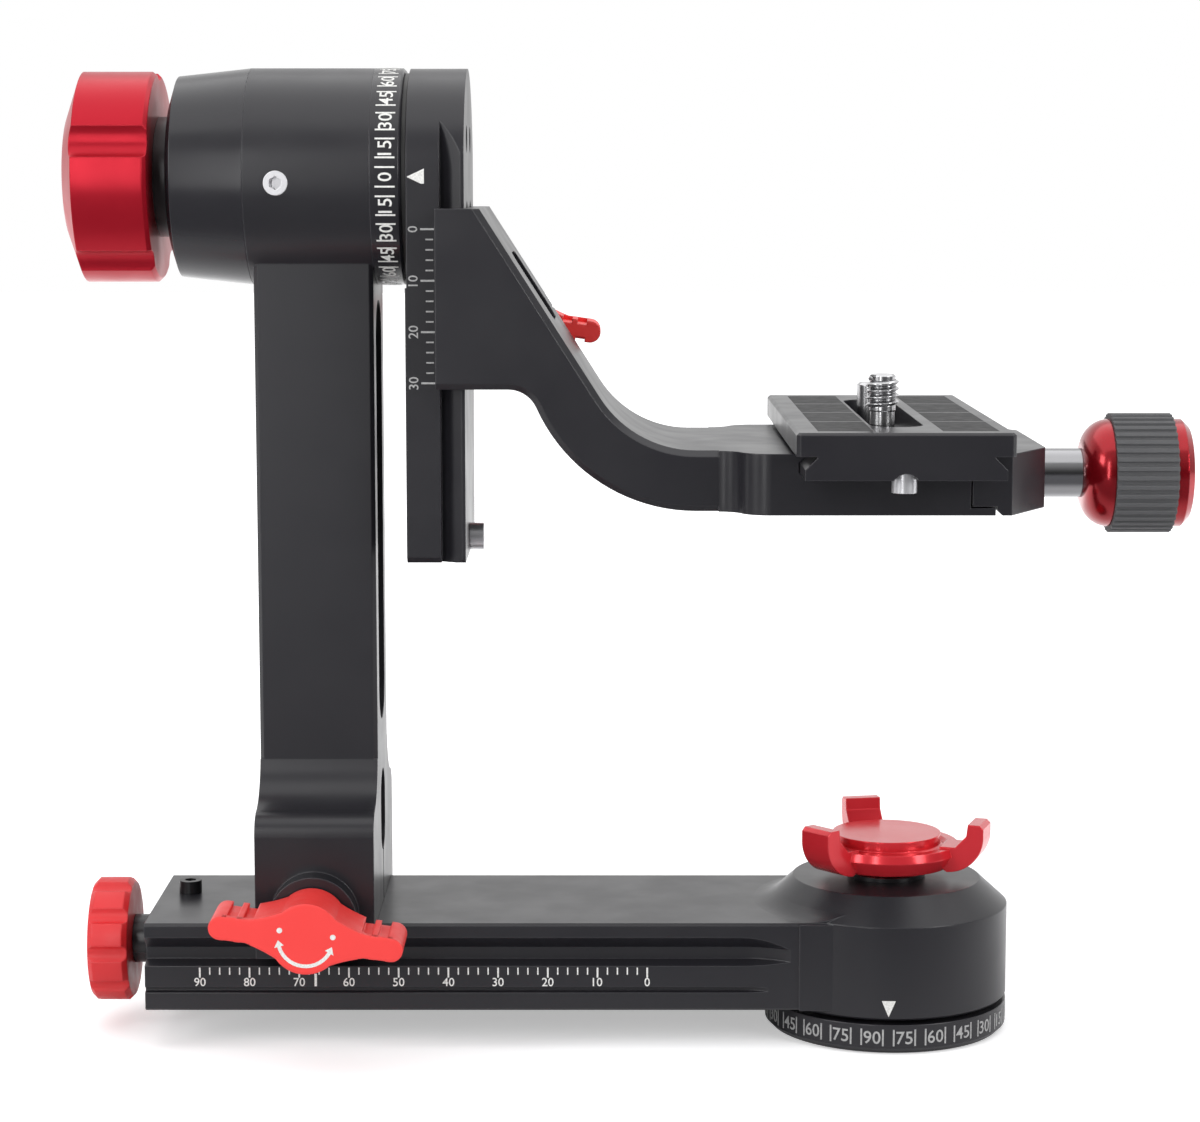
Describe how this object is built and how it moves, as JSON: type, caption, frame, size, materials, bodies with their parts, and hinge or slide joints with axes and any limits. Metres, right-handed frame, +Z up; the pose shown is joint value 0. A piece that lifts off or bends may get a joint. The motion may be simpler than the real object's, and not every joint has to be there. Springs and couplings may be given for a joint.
{
  "type": "gimbal tripod head",
  "caption": "Gimbal head for a long lens: panning rail, sliding upright, free-swinging arm, height-adjustable bracket and a sliding camera plate in a screw clamp.",
  "frame": {"origin": "centre of the tripod socket's mouth, on the pan axis at the underside of the base disc", "axes": "+Z up along the pan axis, +X from the tilt lock towards the camera clamp's knob, along the rail and the tilt axis, +Y along the lens, away from the side with the rail's wing knob"},
  "size_m": [0.2256, 0.099, 0.1962],
  "materials": {
    "black_anodised": "satin black anodised, fine blasted grain",
    "red_anodised": "glossy red anodised, turned",
    "red_painted": "bright red, semi-gloss",
    "black_steel": "blackened",
    "steel": "machined",
    "bright_steel": "bright",
    "brass": "machined",
    "bearing_plastic": "matt",
    "rubber": "matt ribbed"
  },
  "bodies": {
    "base": {"base_disc": "black_anodised", "tripod_bush": "steel", "pan_spindle": "steel", "spindle_screws": "black_steel", "spindle_circlip": "steel"},
    "rail": {"rail_body": "black_anodised", "pan_bearing_lower": "steel", "pan_bearing_upper": "steel", "pan_bearing_spacer": "black_anodised", "pan_retainer_ring": "black_anodised", "rail_stop_screw": "black_steel", "drag_rod_bush": "black_anodised", "drag_shoe": "brass", "pan_knob_washer": "black_steel"},
    "pan_lock": {"pan_lock_knob": "red_anodised", "pan_lock_stud": "steel", "pan_lock_pad": "bearing_plastic"},
    "drag": {"drag_knob": "red_painted", "drag_rod": "steel"},
    "upright": {"upright_arm": "black_anodised", "foot_thread_insert": "steel", "hub_end_cap": "black_anodised", "hub_set_screw": "bright_steel", "tilt_scale_ring": "black_anodised", "tilt_bearing_outer": "steel", "tilt_bearing_inner": "steel", "tilt_bearing_spacer": "black_anodised", "tilt_friction_ring": "bearing_plastic"},
    "rail_wing": {"rail_wing_knob": "red_painted", "rail_wing_stud": "steel", "rail_wing_washer": "black_steel"},
    "swing": {"swing_arm": "black_anodised", "tilt_spindle": "steel", "swing_head_screws": "steel", "swing_stop_screw": "bright_steel"},
    "tilt_lock": {"tilt_lock_knob": "red_anodised", "tilt_knob_collar": "black_steel"},
    "bracket": {"lens_bracket": "black_anodised", "jaw_guide_pins": "steel"},
    "bracket_clamp": {"bracket_jaw": "black_anodised"},
    "bracket_wing": {"bracket_wing_knob": "red_painted", "bracket_wing_stud": "steel"},
    "clamp": {"clamp_jaw": "black_anodised"},
    "clamp_knob": {"clamp_knob_body": "red_anodised", "clamp_knob_grip": "rubber", "clamp_screw": "black_steel"},
    "plate": {"quick_plate": "black_anodised", "plate_pads": "rubber", "plate_stop_screws": "bright_steel", "anti_twist_pin": "steel"},
    "screw_carrier": {"camera_screw_washer": "steel"},
    "screw": {"camera_screw": "steel"}
  },
  "joints": [
    {"name": "pan", "type": "hinge", "parent": "base", "child": "rail", "pos_m": [0, 0, 0.016], "axis": [0, 0, 1], "continuous": true},
    {"name": "pan_lock_turn", "type": "hinge", "parent": "rail", "child": "pan_lock", "pos_m": [0, 0, 0.036], "axis": [0, 0, 1], "range_deg": [0, 180]},
    {"name": "pan_drag_turn", "type": "hinge", "parent": "rail", "child": "drag", "pos_m": [-0.16, 0, 0.0175], "axis": [-1, 0, 0], "range_deg": [0, 360]},
    {"name": "upright_slide", "type": "slide", "parent": "rail", "child": "upright", "axis": [1, 0, 0], "range_m": [-0.0145, 0.065]},
    {"name": "rail_wing_turn", "type": "hinge", "parent": "upright", "child": "rail_wing", "pos_m": [-0.11615, -0.038, 0.0289], "axis": [0, -1, 0], "range_deg": [0, 180]},
    {"name": "tilt", "type": "hinge", "parent": "upright", "child": "swing", "pos_m": [-0.1145, 0, 0.1746], "axis": [1, 0, 0], "continuous": true},
    {"name": "tilt_lock_turn", "type": "hinge", "parent": "swing", "child": "tilt_lock", "pos_m": [-0.1565, 0, 0.1746], "axis": [-1, 0, 0], "range_deg": [0, 180]},
    {"name": "bracket_slide", "type": "slide", "parent": "swing", "child": "bracket", "axis": [0, 0, 1], "range_m": [-0.0285, 0.017]},
    {"name": "bracket_clamp_slide", "type": "slide", "parent": "bracket", "child": "bracket_clamp", "axis": [0, 1, 0], "range_m": [0, 0.0012]},
    {"name": "bracket_wing_turn", "type": "hinge", "parent": "bracket_clamp", "child": "bracket_wing", "pos_m": [-0.078, 0.034, 0.144], "axis": [0, 1, 0], "range_deg": [0, 360]},
    {"name": "clamp_slide", "type": "slide", "parent": "bracket", "child": "clamp", "axis": [1, 0, 0], "range_m": [0, 0.0059]},
    {"name": "clamp_knob_turn", "type": "hinge", "parent": "clamp", "child": "clamp_knob", "pos_m": [0.035, 0, 0.1148], "axis": [1, 0, 0], "range_deg": [0, 1440]},
    {"name": "plate_slide", "type": "slide", "parent": "bracket", "child": "plate", "axis": [0, 1, 0], "range_m": [-0.008, 0.008]},
    {"name": "screw_slide", "type": "slide", "parent": "plate", "child": "screw_carrier", "axis": [0, 1, 0], "range_m": [-0.003, 0.031]},
    {"name": "screw_turn", "type": "hinge", "parent": "screw_carrier", "child": "screw", "pos_m": [-0.0047, -0.0285, 0.125], "axis": [0, 0, 1], "continuous": true}
  ],
  "couplings": [
    {"joint": "bracket_wing_turn", "follows": "bracket_clamp_slide", "rad_per_m": 5026.5},
    {"joint": "clamp_knob_turn", "follows": "clamp_slide", "rad_per_m": 4188.8}
  ]
}
